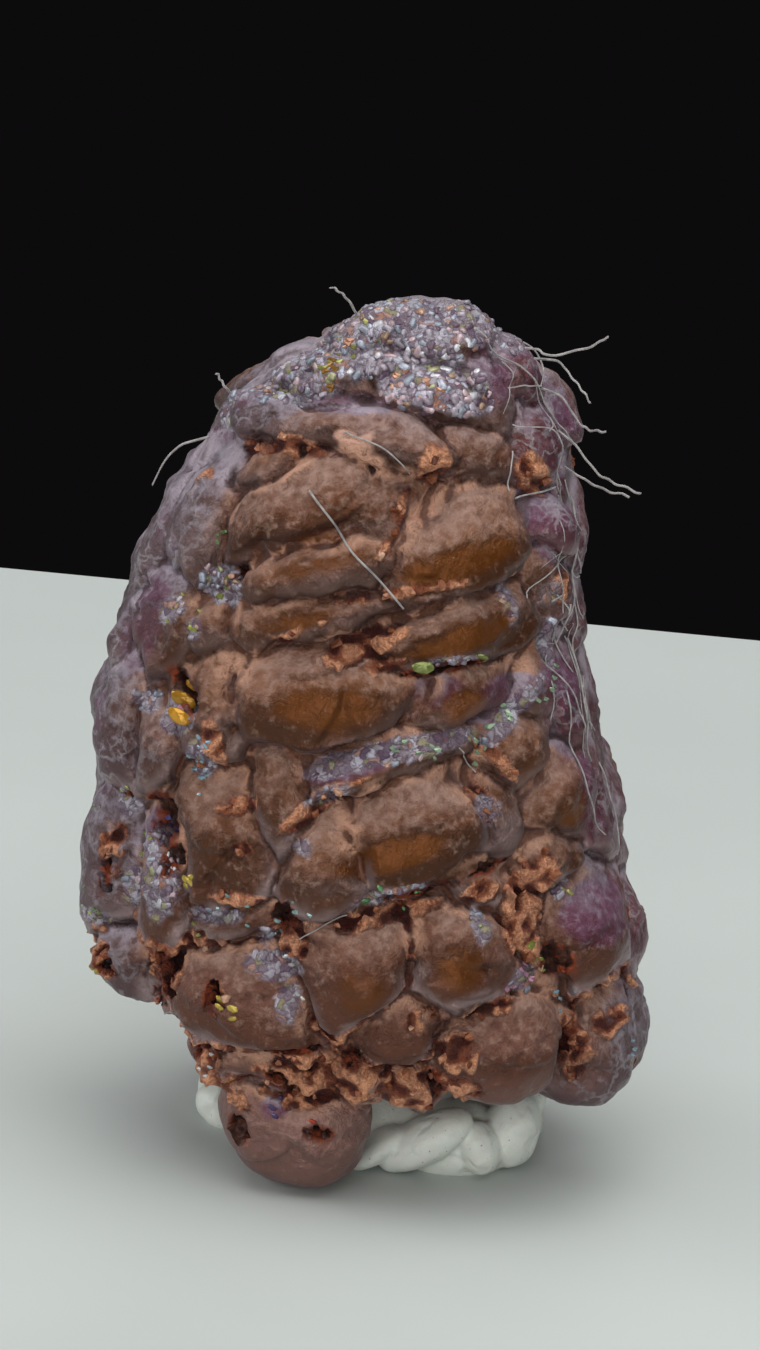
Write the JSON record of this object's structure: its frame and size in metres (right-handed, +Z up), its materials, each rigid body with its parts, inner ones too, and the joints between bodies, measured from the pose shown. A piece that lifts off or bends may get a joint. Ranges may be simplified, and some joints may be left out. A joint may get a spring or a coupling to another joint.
{
  "type": "native copper specimen",
  "caption": "Nodular natural lump of tarnished copper with crystal crusts, standing upright in a kneaded pad of mounting putty, with lint fibres caught on it.",
  "frame": {"origin": "on the surface that the object stands on, under the middle of its bounding box", "axes": "+Z up; -Y towards the front, the side with the protruding foot lobe; +X to the right of a viewer who faces the front"},
  "size_m": [0.0234, 0.0188, 0.0351],
  "materials": {
    "copper": null,
    "putty": "matt white reusable mounting putty",
    "lint": "pale grey textile lint"
  },
  "bodies": {
    "root": {"copper_mass": "copper", "mounting_putty": "putty", "lint_fibre_1": "lint", "lint_fibre_2": "lint", "lint_fibre_3": "lint", "lint_fibre_4": "lint", "lint_fibre_5": "lint", "lint_fibre_6": "lint", "lint_fibre_7": "lint", "lint_fibre_8": "lint"}
  },
  "joints": []
}
